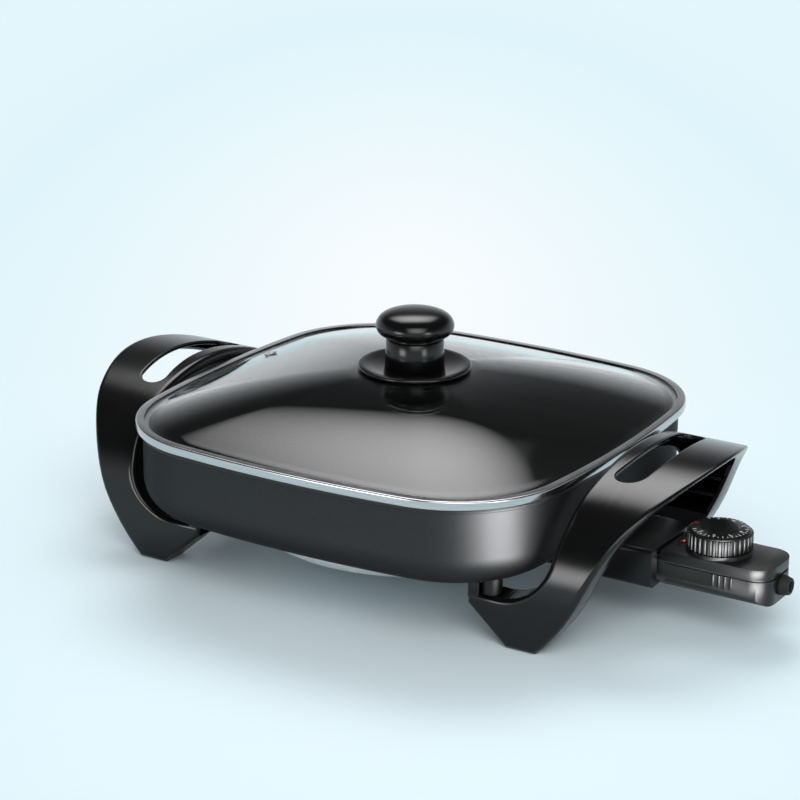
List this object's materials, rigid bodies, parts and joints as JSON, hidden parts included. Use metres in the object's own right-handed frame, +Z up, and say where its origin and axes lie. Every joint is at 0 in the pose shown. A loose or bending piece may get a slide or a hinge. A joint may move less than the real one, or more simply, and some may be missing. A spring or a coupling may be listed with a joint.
{
  "type": "electric skillet",
  "caption": "Square electric skillet with a lift-off domed glass lid, arched handle and leg units with hand slots, and a plug-in temperature control with a dial.",
  "frame": {"origin": "on the worktop, under the middle of the pan", "axes": "+X towards the temperature control, +Y to the back, +Z up"},
  "size_m": [0.4933, 0.31, 0.1715],
  "materials": {
    "pan_coat": "satin charcoal non-stick coat on cast aluminium",
    "cast_plate": "bare cast, light grey",
    "element_sheath": "drawn tube",
    "ceramic": "glazed ceramic",
    "bright_steel": "polished",
    "zinc_steel": "zinc plated",
    "black_gloss": "glossy black heat-proof moulding",
    "black_satin": "satin black moulding",
    "tempered_glass": "clear tempered glass",
    "brass": "bright spring brass",
    "black_rubber": "soft black",
    "red_lens": "clear red moulding"
  },
  "bodies": {
    "skillet": {"pan": "pan_coat", "heater_plate": "cast_plate", "heating_element": "element_sheath", "terminal_bushes": "ceramic", "terminal_pins": "bright_steel", "probe_sleeve": "zinc_steel", "terminal_guard": "black_satin", "guard_screws": "zinc_steel", "left_handle": "black_gloss", "right_handle": "black_gloss", "handle_screws": "zinc_steel"},
    "lid": {"lid_glass": "tempered_glass", "lid_rim": "bright_steel", "vent_grommet": "bright_steel", "knob_base": "black_gloss", "knob": "black_gloss", "knob_screw": "bright_steel", "knob_washer": "black_rubber"},
    "control": {"control_base": "black_satin", "control_cover": "black_satin", "contact_sleeves": "brass", "probe_tube": "bright_steel", "thermostat_frame": "zinc_steel", "contact_blades": "brass", "indicator_lens": "red_lens", "control_screws": "zinc_steel", "cord_bush": "black_rubber"},
    "dial": {"temperature_dial": "black_satin", "dial_shaft": "bright_steel"}
  },
  "joints": [
    {"name": "lid_lift", "type": "slide", "parent": "skillet", "child": "lid", "axis": [0, 0, 1], "range_m": [0, 0.15]},
    {"name": "control_pull", "type": "slide", "parent": "skillet", "child": "control", "axis": [1, 0, 0], "range_m": [0, 0.12]},
    {"name": "dial_turn", "type": "hinge", "parent": "control", "child": "dial", "pos_m": [0.2203, 0, 0.05], "axis": [0, 0, -1], "range_deg": [0, 280]}
  ]
}
